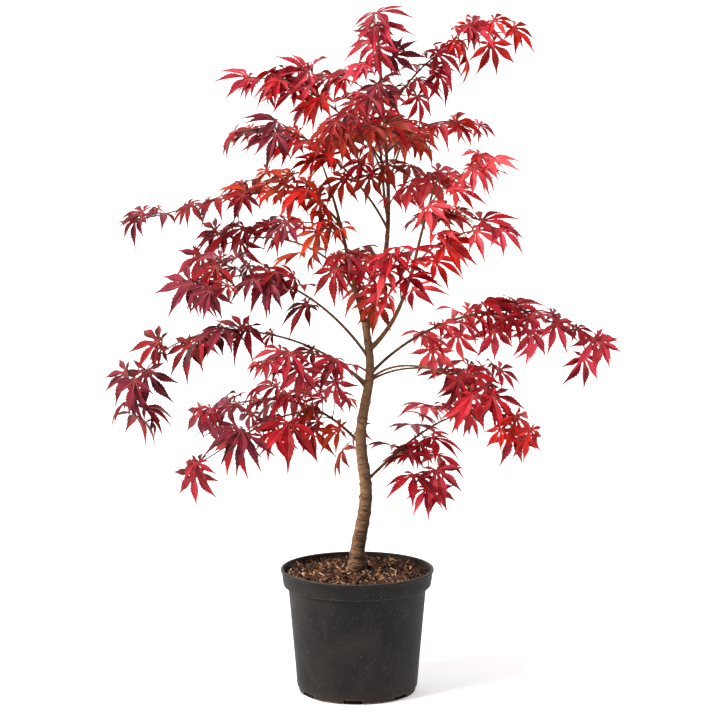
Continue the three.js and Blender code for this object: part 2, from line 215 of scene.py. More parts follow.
pot_profile = profile(
    (0.001, 0, 0),
    (NOTCH_SILL, 0, 0),
    (FOOT_RADIUS - NOTCH_DEPTH, 0, 0),
    (FOOT_RADIUS - NOTCH_DEPTH / 2, 0, 0),
    (FOOT_RADIUS, 0, 1.6),
    (FOOT_RADIUS + 0.5, FOOT_HEIGHT / 2, 0),
    (FOOT_RADIUS + 1, NOTCH_HEIGHT, 0),
    (FOOT_RADIUS + 1.1, FOOT_HEIGHT - 1.2, 0.4),
    (WALL_FOOT_RADIUS + 0.3, FOOT_HEIGHT, 0.8),
    (WALL_FOOT_RADIUS + 0.8, FOOT_HEIGHT + 3, 0.8),
    (WALL_FOOT_RADIUS + 5, FOOT_HEIGHT + 55, 0),
    (WALL_FOOT_RADIUS + 10.5, FOOT_HEIGHT + 118, 0),
    (WALL_TOP_RADIUS, collar_foot - 1, 1.5),
    (COLLAR_RADIUS - 0.3, collar_foot, 1.6),
    (COLLAR_RADIUS + 1.9, collar_foot + 12, 0),
    (RIM_RADIUS - 2.4, POT_HEIGHT - 7, 1.0),
    (RIM_RADIUS + 0.4, POT_HEIGHT - 4.5, 1.6),
    (RIM_RADIUS, POT_HEIGHT, 2.0),
    (RIM_RADIUS - 4.6, POT_HEIGHT, 1.6),
    (RIM_RADIUS - 5.6, POT_HEIGHT - 8, 0),
    (COLLAR_RADIUS - WALL, collar_foot + WALL + 1, 1),
    (WALL_TOP_RADIUS - WALL, collar_foot + WALL, 1),
    (WALL_TOP_RADIUS - WALL - 2, collar_foot - 20, 0),
    (0.001, collar_foot - 20, 0),
)

pitch = 2 * math.pi / NOTCHES
notch_half = NOTCH_WIDTH / 2 / FOOT_RADIUS
notch_bevel = NOTCH_BEVEL / FOOT_RADIUS
turns = []
for k in range(NOTCHES):
    middle = math.radians(NOTCH_TURN) + k * pitch
    # Each notch's columns go from full depth to none over a narrow bevel at its two sides.
    for share in (-1, -0.6, -0.2, 0.2, 0.6, 1):
        turns.append((middle + share * notch_half, 1))
    turns.append((middle + notch_half + notch_bevel, 0))
    plain = pitch - 2 * (notch_half + notch_bevel)
    for j in range(1, POT_COLUMNS + 1):
        turns.append((middle + notch_half + notch_bevel + plain * j / POT_COLUMNS, 0))

pot_shape = Shape()
pot_worn = []
for i, (turn, notched) in enumerate(turns):
    beside_notch = notched or turns[i - 1][1] or turns[(i + 1) % len(turns)][1]
    for radius, height in pot_profile:
        foot_rim = radius > FOOT_RADIUS - CHAFED_EDGE and height < NOTCH_HEIGHT + 1
        pot_worn.append(1.0 if foot_rim and (beside_notch or height < CHAFED_EDGE) else 0.0)
        lifted = notched and radius > FOOT_RADIUS - NOTCH_DEPTH - 0.1 and height < NOTCH_HEIGHT
        if notched and abs(radius - NOTCH_SILL) < 0.01:
            radius = NOTCH_FOOT
        z = NOTCH_HEIGHT if lifted else height
        pot_shape.add(Vector((math.cos(turn) * radius, math.sin(turn) * radius, z)) * MM)
rows = len(pot_profile)
for i in range(len(turns)):
    after = (i + 1) % len(turns)
    for j in range(rows - 1):
        pot_shape.faces.append((i * rows + j, after * rows + j, after * rows + j + 1, i * rows + j + 1))


def fill(tree, socket, value):
    """Links a socket to another one, or gives it a plain value."""
    if isinstance(value, bpy.types.NodeSocket):
        tree.links.new(value, socket)
    else:
        socket.default_value = value


def add_node(tree, kind, **values):
    """A shader node with its properties and its inputs set by name."""
    made = tree.nodes.new(kind)
    for name, value in values.items():
        if hasattr(made, name):
            setattr(made, name, value)
        else:
            fill(tree, made.inputs[name.replace("_", " ")], value)
    return made


def object_place(tree):
    """The place on the object, in metres."""
    return tree.nodes.new("ShaderNodeTexCoord").outputs["Object"]


def stretched(tree, place, scale):
    """A place scaled along its three directions."""
    return add_node(tree, "ShaderNodeMapping", Vector=place, Scale=scale).outputs["Vector"]


def noise_over(tree, place, **values):
    """A soft random pattern over a place."""
    return add_node(tree, "ShaderNodeTexNoise", Vector=place, **values).outputs["Fac"]


def ramp(tree, source, stops):
    """The colour at source of a run of (position, colour) stops."""
    made = add_node(tree, "ShaderNodeValToRGB", Fac=source)
    elements = made.color_ramp.elements
    while len(elements) < len(stops):
        elements.new(0.5)
    for element, (position, colour) in zip(elements, stops):
        element.position = position
        element.color = colour
    return made.outputs["Color"]


def fade(tree, source, start, end):
    """Black where source is under start, white where it is over end."""
    return ramp(tree, source, [(start, BLACK), (end, WHITE)])


def ranged(tree, source, start, end, first, last):
    """Runs from first to last as source goes from start to end."""
    ends = {"From_Min": start, "From_Max": end, "To_Min": first, "To_Max": last}
    return add_node(tree, "ShaderNodeMapRange", Value=source, **ends).outputs["Result"]


def mix(tree, amount, first, second):
    """A colour between first and second."""
    made = add_node(tree, "ShaderNodeMix", data_type="RGBA")
    for index, value in ((0, amount), (6, first), (7, second)):
        fill(tree, made.inputs[index], value)
    return made.outputs[2]


def math_node(tree, operation, *values):
    """A maths node over sockets or plain values."""
    made = add_node(tree, "ShaderNodeMath", operation=operation)
    for socket, value in zip(made.inputs, values):
        fill(tree, socket, value)
    return made.outputs[0]


def product(tree, first, second):
    """Two sockets, or a socket and a value, multiplied."""
    return math_node(tree, "MULTIPLY", first, second)


def dress(tree, shader, colour, relief, strength, depth):
    """Gives a shader its colour, and its fine relief through a Bump node."""
    tree.links.new(colour, shader.inputs["Base Color"])
    bump = add_node(tree, "ShaderNodeBump", Strength=strength, Distance=depth, Height=relief)
    tree.links.new(bump.outputs["Normal"], shader.inputs["Normal"])


# Specks: small scattered spots whose size and number are set, as of dust or grit.
specks = bpy.data.node_groups.new("specks", "ShaderNodeTree")
for label in ("Size", "Share"):
    specks.interface.new_socket(name=label, in_out="INPUT", socket_type="NodeSocketFloat")
specks.interface.new_socket(name="Mask", in_out="OUTPUT", socket_type="NodeSocketFloat")
told = specks.nodes.new("NodeGroupInput").outputs
speck_scale = math_node(specks, "DIVIDE", 1.0, told["Size"])
cells = add_node(specks, "ShaderNodeTexVoronoi", feature="F1", Vector=object_place(specks), Scale=speck_scale)
chosen = math_node(specks, "LESS_THAN", cells.outputs["Color"], told["Share"])
spot = math_node(specks, "LESS_THAN", cells.outputs["Distance"], 0.32)
fill(specks, specks.nodes.new("NodeGroupOutput").inputs["Mask"], product(specks, chosen, spot))


def speckled(tree, ground, size, share, speck):
    """The ground's colour with specks of a size strewn over a share of its places."""
    made = add_node(tree, "ShaderNodeGroup", node_tree=specks, Size=size, Share=share)
    return mix(tree, made.outputs["Mask"], ground, speck)


pot_material, tree, shader = new_material("pot_plastic", Roughness=0.62, Specular_IOR_Level=0.22)
place = object_place(tree)
height = add_node(tree, "ShaderNodeSeparateXYZ", Vector=place).outputs["Z"]
level_place = stretched(tree, place, (1.0, 1.0, 0.0))
far_out = add_node(tree, "ShaderNodeVectorMath", operation="LENGTH", Vector=level_place).outputs["Value"]
grain = noise_over(tree, place, Scale=900.0, Detail=3.0)
smears = noise_over(tree, place, Scale=14.0, Detail=6.0, Roughness=0.62, Distortion=0.6)
plastic = mix(tree, fade(tree, smears, 0.4, 0.66), shade(19, 16, 15), shade(36, 31, 29))
# Splashes have dried on the lowest 30 mm of the wall.
splash = product(tree, ranged(tree, height, 0.03, 0.0, 0.0, 0.5), smears)
plastic = mix(tree, splash, plastic, shade(86, 66, 50))
# The edges of the foot and the lower edge of the band are chafed in patches.
worn = add_node(tree, "ShaderNodeAttribute", attribute_name="pot_worn").outputs["Fac"]
band_edge = math_node(tree, "COMPARE", height, collar_foot * MM, 0.0007)
edges = math_node(tree, "MAXIMUM", fade(tree, worn, 0.55, 0.95), product(tree, band_edge, 0.5))
rubbed = fade(tree, noise_over(tree, place, Scale=120.0, Detail=4.0, Roughness=0.7), 0.42, 0.56)
chafed = product(tree, product(tree, edges, rubbed), 0.85)
plastic = mix(tree, chafed, plastic, shade(136, 104, 78))
plastic = speckled(tree, plastic, 0.0019, 0.16, shade(68, 56, 48))
plastic = speckled(tree, plastic, 0.0013, 0.08, shade(150, 136, 120))
# Dust of the mix clings to the wall above it.
above_mix = math_node(tree, "GREATER_THAN", height, (POT_HEIGHT - 18) * MM)
within_rim = math_node(tree, "LESS_THAN", far_out, (RIM_RADIUS - 3.8) * MM)
dusty = product(tree, product(tree, above_mix, within_rim), smears)
plastic = mix(tree, dusty, plastic, shade(70, 58, 50))
# Painted highlight: the lip's top is painted lighter where it catches the light.
lip_highlight = math_node(tree, "GREATER_THAN", height, (POT_HEIGHT - 1.6) * MM)
plastic = mix(tree, product(tree, lip_highlight, 0.8), plastic, shade(66, 63, 62))
# Painted shade: behind the notches the pot is coloured near black, for the shade under it.
painted_shade_zone = math_node(tree, "LESS_THAN", height, (NOTCH_HEIGHT + 0.5) * MM)
under = math_node(tree, "LESS_THAN", far_out, (FOOT_RADIUS - 2) * MM)
plastic = mix(tree, product(tree, under, painted_shade_zone), plastic, shade(6, 6, 6))
dress(tree, shader, plastic, grain, 0.25, 0.0004)

pot = new_piece("nursery_pot", pot_shape, pot_material, sharp_over=38)
pot.data.attributes.new("pot_worn", "FLOAT", "POINT").data.foreach_set("value", pot_worn)
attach(pot, "root")
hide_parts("pot")

# ------------------------------------------------------------------------------
# Potting mix
# Moist composted bark fills the pot to just under the rim and stands a little higher at the trunk. Chips of
# bark, thin fibres and a few white grains of perlite lie on it.
SOIL_TOP = 217.6
SOIL_EDGE = 213
SOIL_RADIUS = 133
SOIL_RINGS = 46
SOIL_SPOKES = 150
CHIPS = 3500
CHIP_SHORTEST = 6
CHIP_SPREAD = 21
CHIP_TILT = 50
FIBRES = 680
FIBRE_LENGTHS = (8, 30)
GRAINS = 62
GRAIN_SMALLEST = 0.9
GRAIN_SPREAD = 3.0
TRUNK_CLEAR = 17  # nothing lies nearer to the trunk's middle than this


def soil_height(x, y):
    """Height of the mix at a place, in millimetres, with its lumps."""
    out = math.hypot(x, y) / SOIL_RADIUS
    lumps = noise.fractal(Vector((x * 0.06, y * 0.06, 3.1)), 1.0, 2.0, 3) * 3.4
    return SOIL_TOP - (SOIL_TOP - SOIL_EDGE) * out**1.6 + lumps * min(1.0, 4 * abs(1 - out) + 0.3)


soil_points = [Vector((0, 0, soil_height(0, 0))) * MM]
for i in range(1, SOIL_RINGS + 1):
    for k in range(SOIL_SPOKES):
        angle = 2 * math.pi * k / SOIL_SPOKES
        x = math.cos(angle) * SOIL_RADIUS * i / SOIL_RINGS
        y = math.sin(angle) * SOIL_RADIUS * i / SOIL_RINGS
        soil_points.append(Vector((x, y, soil_height(x, y))) * MM)
soil_faces = [(0, 1 + k, 1 + (k + 1) % SOIL_SPOKES) for k in range(SOIL_SPOKES)]
for i in range(SOIL_RINGS - 1):
    for k in range(SOIL_SPOKES):
        after = (k + 1) % SOIL_SPOKES
        inner = 1 + i * SOIL_SPOKES
        outer = inner + SOIL_SPOKES
        soil_faces.append((inner + k, outer + k, outer + after, inner + after))

soil_material, tree, shader = new_material("moist_compost", Roughness=0.9)
crumbs = noise_over(tree, object_place(tree), Scale=420.0, Detail=6.0, Roughness=0.7)
soil_shades = [(0.36, shade(14, 9, 6)), (0.54, shade(40, 25, 17)), (0.72, shade(84, 54, 36))]
dress(tree, shader, ramp(tree, crumbs, soil_shades), crumbs, 0.9, 0.003)
soil = new_piece("potting_mix", Shape(soil_points, soil_faces), soil_material)
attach(soil, "root")
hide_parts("soil")


def chip_material(name, dark, light):
    """Torn bark or fibre: streaked from one shade to another, each bit with its own share of the two."""
    made, tree, shader = new_material(name, Roughness=0.85)
    streaks = noise_over(tree, object_place(tree), Scale=700.0, Detail=4.0)
    own = tree.nodes.new("ShaderNodeNewGeometry").outputs["Random Per Island"]
    share = product(tree, math_node(tree, "ADD", own, streaks), 0.55)
    dress(tree, shader, mix(tree, share, dark, light), streaks, 0.5, 0.0008)
    return made


def add_chip(shape, middle, length, width, thick, turn):
    """A torn flake: a box with its corners pulled about."""
    start = len(shape.points)
    for x in (-0.5, 0.5):
        for y in (-0.5, 0.5):
            for z in (-0.5, 0.5):
                corner = Vector((x * length, y * width, z * thick))
                pull = Vector((length * 0.22, width * 0.3, thick * 0.3))
                corner += Vector(dice.uniform(-p, p) for p in pull)
                shape.add((turn @ corner + middle) * MM)
    for face in ((0, 1, 3, 2), (4, 6, 7, 5), (0, 4, 5, 1), (2, 3, 7, 6), (0, 2, 6, 4), (1, 5, 7, 3)):
        shape.faces.append(tuple(start + v for v in face))


def scattered():
    """A random place on the mix, clear of the trunk, in millimetres."""
    while True:
        out = SOIL_RADIUS * 0.985 * math.sqrt(dice.random())
        angle = dice.uniform(0, 2 * math.pi)
        if out > TRUNK_CLEAR:
            return out * math.cos(angle), out * math.sin(angle)


def any_turn(tilt):
    """A random turn about the vertical with a random tilt of up to the given degrees."""
    lean = Matrix.Rotation(math.radians(dice.uniform(-tilt, tilt)), 3, "X")
    pitch = Matrix.Rotation(math.radians(dice.uniform(-tilt, tilt)), 3, "Y")
    return Matrix.Rotation(dice.uniform(0, 2 * math.pi), 3, "Z") @ lean @ pitch


dice = random.Random(11)
CHIP_SHADES = {
    "dark_chips": (0.46, shade(13, 8, 5), shade(50, 29, 19)),
    "brown_chips": (0.38, shade(66, 37, 22), shade(134, 82, 50)),
    "tan_chips": (0.16, shade(136, 90, 56), shade(234, 186, 136)),
}
for name, (share, dark, light) in CHIP_SHADES.items():
    flakes = Shape()
    for _ in range(int(CHIPS * share)):
        x, y = scattered()
        length = CHIP_SHORTEST + CHIP_SPREAD * dice.random() ** 1.6
        width = dice.uniform(1.1, 2.1) + length * dice.uniform(0.0, 0.11)
        thick = dice.uniform(0.7, 1.7)
        inward = min(1.0, (SOIL_RADIUS - 2 - length * 0.55) / math.hypot(x, y))
        x *= inward
        y *= inward
        middle = Vector((x, y, soil_height(x, y) + thick * 0.4 + 4.5 * dice.random() ** 1.5))
        add_chip(flakes, middle, length, width, thick, any_turn(CHIP_TILT))
    chips = new_piece(name, flakes, chip_material(name, dark, light), smooth=False)
    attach(chips, "root")


def close_tube(shape, first, rings, columns, turned=False):
    """Faces between rings of points that follow one another from number first on, and over both ends.

    turned is for rings whose points run the other way round.
    """
    for i in range(rings):
        for k in range(columns):
            a = first + i * columns + k
            b = first + i * columns + (k + 1) % columns
            corners = (a, b, b + columns, a + columns)
            shape.faces.append((a, a + columns, b + columns, b) if turned else corners)
    near = tuple(range(first, first + columns))
    far = tuple(range(first + rings * columns, first + (rings + 1) * columns))
    shape.faces += [near, far[::-1]] if turned else [near[::-1], far]


def add_stick(shape, path, radii, sides):
    """A rod of the given radii along a path of points, closed at both ends, all in millimetres."""
    along = [(path[min(i + 1, len(path) - 1)] - path[max(i - 1, 0)]).normalized() for i in range(len(path))]
    side = along[0].orthogonal().normalized()
    start = len(shape.points)
    for i, centre in enumerate(path):
        side = (side - along[i] * side.dot(along[i])).normalized()
        up = along[i].cross(side)
        for k in range(sides):
            turn = 2 * math.pi * k / sides
            shape.add((centre + (side * math.cos(turn) + up * math.sin(turn)) * radii[i]) * MM)
    close_tube(shape, start, len(path) - 1, sides)


strands = Shape()
for _ in range(FIBRES):
    x, y = scattered()
    length = dice.uniform(*FIBRE_LENGTHS)
    angle = dice.uniform(0, 2 * math.pi)
    curl = dice.uniform(-0.9, 0.9)
    path = []
    for k in range(5):
        path.append(Vector((x, y, soil_height(x, y) + 3.2 + 2.2 * math.sin(k * 1.3 + angle))))
        x += math.cos(angle + curl * k) * length / 4
        y += math.sin(angle + curl * k) * length / 4
    spans = [p.to_2d().length for p in path]
    if max(spans) < SOIL_RADIUS - 3 and min(spans) > TRUNK_CLEAR:
        add_stick(strands, path, [0.45, 0.5, 0.45, 0.4, 0.25], sides=4)
fibres = new_piece("fibres", strands, chip_material("fibres", shade(92, 56, 34), shade(190, 138, 92)))
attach(fibres, "root")

beads = Shape()
for _ in range(GRAINS):
    x, y = scattered()
    size = GRAIN_SMALLEST + GRAIN_SPREAD * dice.random() ** 4
    middle = Vector((x, y, soil_height(x, y) + size * 0.8 + dice.uniform(2, 5)))
    start = beads.add((middle + Vector((0, 0, size))) * MM)
    for lift, count, shift in ((0.5, 6, 0.0), (-0.5, 6, 0.5)):
        for k in range(count):
            turn = 2 * math.pi * (k + shift) / count
            reach = size * dice.uniform(0.75, 1.1)
            ring = Vector((math.cos(turn) * 0.87, math.sin(turn) * 0.87, lift)) * reach
            beads.add((middle + ring) * MM)
    beads.add((middle - Vector((0, 0, size))) * MM)
    for k in range(6):
        after = (k + 1) % 6
        beads.faces.append((start, start + 1 + k, start + 1 + after))
        beads.faces.append((start + 1 + k, start + 7 + k, start + 1 + after))
        beads.faces.append((start + 1 + after, start + 7 + k, start + 7 + after))
        beads.faces.append((start + 13, start + 7 + after, start + 7 + k))
perlite_material, _, _ = new_material("perlite", Base_Color=shade(226, 218, 204), Roughness=0.9)
perlite = new_piece("perlite", beads, perlite_material)
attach(perlite, "root")

# ------------------------------------------------------------------------------
# Trunk, leaders and boughs
# One slim grafted stem winds up out of the mix and parts into four leaders, and long thin boughs arch off
# them. The bark is young: smooth and grey-brown, ringed with old leaf scars, with pale pores and a few
# pruned stubs.
TRUNK_FOOT = 212
TRUNK_HEAD = 675
TRUNK_START = 217.95  # where the trunk's line begins; the wood goes on down into the mix to TRUNK_FOOT
TRUNK_THICK = 27
TRUNK_THIN = 13.5
TRUNK_LEAN = 14
TRUNK_WIND = 6.3
TRUNK_SWAY = 5
FLARE = 8
FLARE_SHARE = 0.05  # of the trunk's length, over which most of the flare dies away
TRUNK_SCARS = 1.5  # how much prouder than a bough's the trunk's leaf scars stand
LIMB_PULL = 0.38  # how far along its span a limb still feels the slope at either end


def lerp(a, b, share):
    """The value at a share of the way from a to b."""
    return a + (b - a) * share


def heading(compass, slope):
    """Unit direction at a compass angle from +X towards +Y, sloping up, both in degrees."""
    c = math.radians(compass)
    s = math.radians(slope)
    return Vector((math.cos(c) * math.cos(s), math.sin(c) * math.cos(s), math.sin(s)))


def trunk_curve(share):
    """A point on the trunk's winding line."""
    at_foot = math.sin(-0.7 * math.pi)
    x = TRUNK_LEAN * share + TRUNK_WIND * (math.sin(2 * math.pi * (1.95 * share - 0.35)) - at_foot)
    y = TRUNK_SWAY * math.sin(2 * math.pi * 1.3 * share)
    return Vector((x, y, lerp(TRUNK_START, TRUNK_HEAD, share)))


def trunk_thickness(share):
    """The trunk's diameter, with its flare at the mix."""
    return lerp(TRUNK_THICK, TRUNK_THIN, share) + FLARE * math.exp(-max(share, 0) / FLARE_SHARE)


def limb_curve(parent, at, toward, veer, reach, rise, sets_off, ends):
    """A limb's line: it leaves its parent at a share of its length, and its two ends slope as told."""
    start = curves[parent](at)
    end = start + heading(toward, 0) * reach + Vector((0, 0, rise))
    pull = LIMB_PULL * math.hypot(reach, rise)
    first = start + heading(toward - veer, sets_off) * pull
    second = end - heading(toward + veer, ends) * pull

    def curve(share):
        rest = 1 - share
        return (
            start * rest**3
            + first * (3 * share * rest**2)
            + second * (3 * share**2 * rest)
            + end * share**3
        )

    return curve


# name: parent, share of the parent's length where it leaves, compass angle, veer off that angle, reach, rise,
# slope setting off, slope at the end, thickness, thickness at the tip
LEADERS = {
    "left_leader": ("trunk", 0.985, 128, -10, 130, 290, 68, 50, 10, 3.5),
    "centre_leader": ("trunk", 0.985, 60, 14, 45, 525, 59, 95, 11, 3),
    "right_leader": ("trunk", 0.9, 330, 10, 140, 315, 37, 69, 9, 3.5),
    "back_leader": ("centre_leader", 0.39, 150, 10, 60, 195, 71, 40, 6, 3),
}
BOUGHS = {
    "low_left": ("trunk", 0.52, 145, 12, 365, 25, 35, -24, 5.6, 2),
    "weeping_left": ("low_left", 0.27, 198, -12, 264, -92, 14, -26, 4.2, 2),
    "long_left": ("trunk", 0.74, 190, -12, 412, 24, 53, -67, 5.2, 2),
    "mid_left": ("trunk", 0.76, 235, 14, 335, 65, 38, -14, 5, 2),
    "arching_left": ("trunk", 0.86, 207, 10, 340, 130, 57, -39, 5.8, 2),
    "fourth_left": ("left_leader", 0.15, 148, -10, 335, 70, 67, -30, 5.2, 2),
    "far_left": ("left_leader", 0.62, 178, 14, 405, 2, 52, -5, 5, 2),
    "sixth_left": ("centre_leader", 0.35, 206, 12, 310, 160, 63, -37, 5, 2),
    "seventh_left": ("back_leader", 0.48, 158, -10, 275, 150, 55, -3, 4.2, 2),
    "top_right": ("centre_leader", 0.72, 14, -12, 240, 165, 63, -1, 4.2, 2),
    "second_right": ("centre_leader", 0.62, 48, 12, 245, 35, 36, -23, 4.2, 2),
    "fifth_right": ("right_leader", 0.49, 355, 12, 185, 84, 66, -8, 4.2, 2),
    "long_right": ("trunk", 0.8, 8, -14, 430, 40, 45, -48, 6, 2),
    "low_right": ("trunk", 0.78, 328, 12, 312, -84, 38, -56, 4.8, 2),
    "low_right_back": ("trunk", 0.775, 28, 10, 245, 15, 29, 11, 4.4, 2),
    "lowest_right": ("trunk", 0.37, 38, 10, 275, 100, 38, -10, 6, 2),
    "back_mid": ("centre_leader", 0.2, 98, -12, 270, -20, 34, -24, 5, 2),
    "back_upper": ("centre_leader", 0.5, 80, 10, 230, 80, 50, -20, 4.6, 2),
    "front_upper": ("centre_leader", 0.5, 250, 12, 225, 120, 55, -12, 4.2, 2),
}
TWIGS = {
    "fourth_left_front": ("left_leader", 0.48, 240, 12, 190, 55, 45, 5, 3.2, 1.8),
    "pink_right": ("right_leader", 0.84, 338, -10, 150, 64, 64, -28, 3.2, 1.8),
    "pink_inner": ("centre_leader", 0.43, 318, 10, 115, 62, 55, 0, 2.8, 1.8),
    "fourth_right": ("right_leader", 0.79, 50, 10, 140, -10, 26, -21, 2.8, 1.8),
    "inner_right": ("right_leader", 0.34, 272, 10, 150, 108, 50, 4, 3.2, 1.8),
    "inner_front": ("centre_leader", 0.14, 245, 10, 165, 70, 42, -6, 3.2, 1.8),
    "front_top": ("centre_leader", 0.68, 258, -12, 200, 60, 45, -15, 3.2, 1.8),
    "back_top": ("centre_leader", 0.76, 140, 12, 225, 55, 50, -10, 3.2, 1.8),
    "weeping_right": ("lowest_right", 0.46, 300, 12, 36, -98, 10, -84, 2.8, 1.8),
}
curves = {"trunk": trunk_curve}
compasses = {"trunk": 0}
thicknesses = {"trunk": trunk_thickness}
for name, row in (LEADERS | BOUGHS | TWIGS).items():
    *line, thick, tip = row
    curves[name] = limb_curve(*line)
    compasses[name] = line[2]
    thicknesses[name] = lambda share, thick=thick, tip=tip: lerp(thick, tip, share)


def tangent(curve, share):
    """The direction a curve runs in at a share of its length."""
    return (curve(share + 0.002) - curve(share - 0.002)).normalized()


def length_of(curve, start, end, parts=24):
    """The length of a stretch of a curve."""
    stops = [curve(lerp(start, end, i / parts)) for i in range(parts + 1)]
    return sum((b - a).length for a, b in zip(stops, stops[1:]))


def cross_frame(curve, share, compass):
    """The two directions across a limb at a share: to its side, and up."""
    along = tangent(curve, share)
    up = heading(compass - 90, 0).cross(along).normalized()
    return up.cross(along).normalized(), up


def add_bark(shape, places, name, start, end, columns, step, scar_gap):
    """A limb's bark from one share to another, as rings of points with its relief.

    places gets each point's position in the unrolled bark, and how deep in a scar's groove it lies.
    """
    curve = curves[name]
    length = length_of(curve, start, end)
    rings = max(4, round(length / step))
    seed = Vector((len(shape.points) * 0.013, 7.7, 0))
    # Leaf scars ring the limb at uneven gaps.
    scars = []
    reached = dice.uniform(0.3, 0.7) * scar_gap
    prouder = TRUNK_SCARS if name == "trunk" else 1.0
    while reached < length:
        scars.append((reached, dice.uniform(0.5, 1.1), dice.uniform(0.06, 0.17) * prouder))
        reached += scar_gap * dice.uniform(0.65, 1.3)
    first = len(shape.points)
    for i in range(rings + 1):
        share = lerp(start, end, i / rings)
        down = length * i / rings
        centre = curve(share)
        side, up = cross_frame(curve, share, compasses[name])
        plain = thicknesses[name](share) / 2
        swell = 0.0
        scarred = 0.0
        for place, spread, height in scars:
            away = (down - place) / (plain * 0.45 * spread + 0.8)
            groove = math.exp(-((away - 1.6) ** 2) * 6)
            swell += height * math.exp(-away * away) - 0.35 * height * groove
            scarred = max(scarred, groove)
        collar = 0.0 if name == "trunk" else 0.45 * math.exp(-down / (plain * 2.6))
        for k in range(columns):
            turn = 2 * math.pi * k / columns
            round_way = Vector((math.cos(turn), math.sin(turn), 0))
            lumps = noise.fractal(round_way * 0.9 + Vector((0, 0, down * 0.035)) + seed, 1.0, 2.0, 3) * 0.05
            wrinkle = noise.noise(round_way * 1.1 + Vector((0, 0, down * 0.62)) + seed) * 0.022
            ridge = 0.0
            if name == "trunk":
                ridge = 0.1 * math.exp(-down / 26) * math.sin(5 * turn + 0.8 + down * 0.01)
            out = plain * (1 + swell * (0.75 + 0.25 * math.cos(2 * turn)) + collar + lumps + wrinkle + ridge)
            shape.add((centre + (side * round_way.x + up * round_way.y) * out) * MM)
            unrolled = (round_way.x * plain * MM, round_way.y * plain * MM, (down + seed.x * 900) * MM)
            places.append((*unrolled, scarred))
    close_tube(shape, first, rings, columns, turned=True)


def set_places(piece, places):
    """Keeps on each point of a piece what add_bark has put in places."""
    held = piece.data.attributes.new("bark_place", "FLOAT_VECTOR", "POINT")
    held.data.foreach_set("vector", [v for place in places for v in place[:3]])
    held = piece.data.attributes.new("bark_scar", "FLOAT", "POINT")
    held.data.foreach_set("value", [place[3] for place in places])


def bark_material(name, shades, pore_share, wrinkle_scale, shaded_side_share, lit_top_share):
    """Young bark: fine bands round the limb, weathering in patches, and pale pores longer round than along.

    shades are those of the creases, of the dark, middling and light bark, and of the pores.
    """
    creased, dark, middle, light, pores = shades
    made, tree, shader = new_material(name, Roughness=0.8, Specular_IOR_Level=0.2)
    place = add_node(tree, "ShaderNodeAttribute", attribute_name="bark_place").outputs["Vector"]
    across = add_node(tree, "ShaderNodeSeparateXYZ", Vector=place).outputs
    squeezed = stretched(tree, place, (1.0, 1.0, 4.5))
    bands = noise_over(tree, squeezed, Scale=150.0, Detail=5.0, Roughness=0.62)
    patches = noise_over(tree, place, Scale=38.0, Detail=4.0)
    # Dark wrinkles cross the bark in wavy loops, close together near the foot and sparse above.
    flat = stretched(tree, place, (1.0, 1.0, 3.4))
    fine_waves = noise_over(tree, flat, Scale=wrinkle_scale * 1.8, Detail=2.0)
    wide_waves = noise_over(tree, flat, Scale=wrinkle_scale, Detail=2.0)
    line = [(0.45, BLACK), (0.485, WHITE), (0.505, WHITE), (0.54, BLACK)]
    low_down = ranged(tree, across["Z"], 0.14, 0.02, 0.0, 0.9)
    low_lines = product(tree, ramp(tree, fine_waves, line), low_down)
    high_lines = product(tree, ramp(tree, wide_waves, line), fade(tree, patches, 0.5, 0.6))
    creases = math_node(tree, "MAXIMUM", low_lines, high_lines)
    # A darker groove runs over each old leaf scar, most of the way round.
    scar = add_node(tree, "ShaderNodeAttribute", attribute_name="bark_scar").outputs["Fac"]
    part_round = ramp(tree, wide_waves, [(0.4, (0.1, 0.1, 0.1, 1)), (0.56, WHITE)])
    creases = math_node(tree, "MAXIMUM", creases, product(tree, fade(tree, scar, 0.55, 0.95), part_round))
    weathering = product(tree, math_node(tree, "ADD", bands, patches), 0.5)
    colour = ramp(tree, weathering, [(0.36, dark), (0.5, middle), (0.64, light)])
    wide = stretched(tree, place, (0.45, 0.45, 1.6))
    cells = add_node(tree, "ShaderNodeTexVoronoi", feature="F1", Vector=wide, Scale=420.0).outputs
    chosen = math_node(tree, "LESS_THAN", cells["Color"], pore_share)
    pore = product(tree, chosen, math_node(tree, "LESS_THAN", cells["Distance"], 0.3))
    colour = mix(tree, pore, colour, pores)
    colour = mix(tree, product(tree, creases, 0.8), colour, creased)
    # Painted light and shade: the bark is painted paler toward the top, to lift the shade the crown casts
    # there, and painted darker on the side turned from the window.
    colour = mix(tree, ranged(tree, across["Z"], 0.1, 0.42, 0.0, lit_top_share), colour, light)
    colour = mix(tree, ranged(tree, across["Y"], 0.008, -0.009, 0.0, shaded_side_share), colour, creased)
    relief = math_node(tree, "ADD", bands, product(tree, pore, 0.4))
    relief = math_node(tree, "SUBTRACT", relief, product(tree, creases, 0.9))
    dress(tree, shader, colour, relief, 0.7, 0.0012)
    return made


trunk_bark = bark_material(
    "trunk_bark",
    (shade(26, 15, 9), shade(82, 56, 38), shade(136, 101, 73), shade(180, 138, 101), shade(196, 156, 112)),
    pore_share=0.16,
    wrinkle_scale=15,
    shaded_side_share=0.72,
    lit_top_share=0.5,
)
bough_bark = bark_material(
    "bough_bark",
    (shade(40, 24, 16), shade(78, 50, 34), shade(118, 80, 54), shade(156, 114, 80), shade(176, 140, 106)),
    pore_share=0.12,
    wrinkle_scale=30,
    shaded_side_share=0.4,
    lit_top_share=0,
)
dice = random.Random(23)
TRUNK_SUNK = (TRUNK_FOOT - TRUNK_START) / (TRUNK_HEAD - TRUNK_START)
TRUNK_END = 1.012
# share of the trunk's length, compass angle, length, thickness
STUBS = ((0.3, 205, 9, 6), (0.62, 300, 7, 5), (0.68, 20, 8, 5), (0.93, 235, 8, 5))
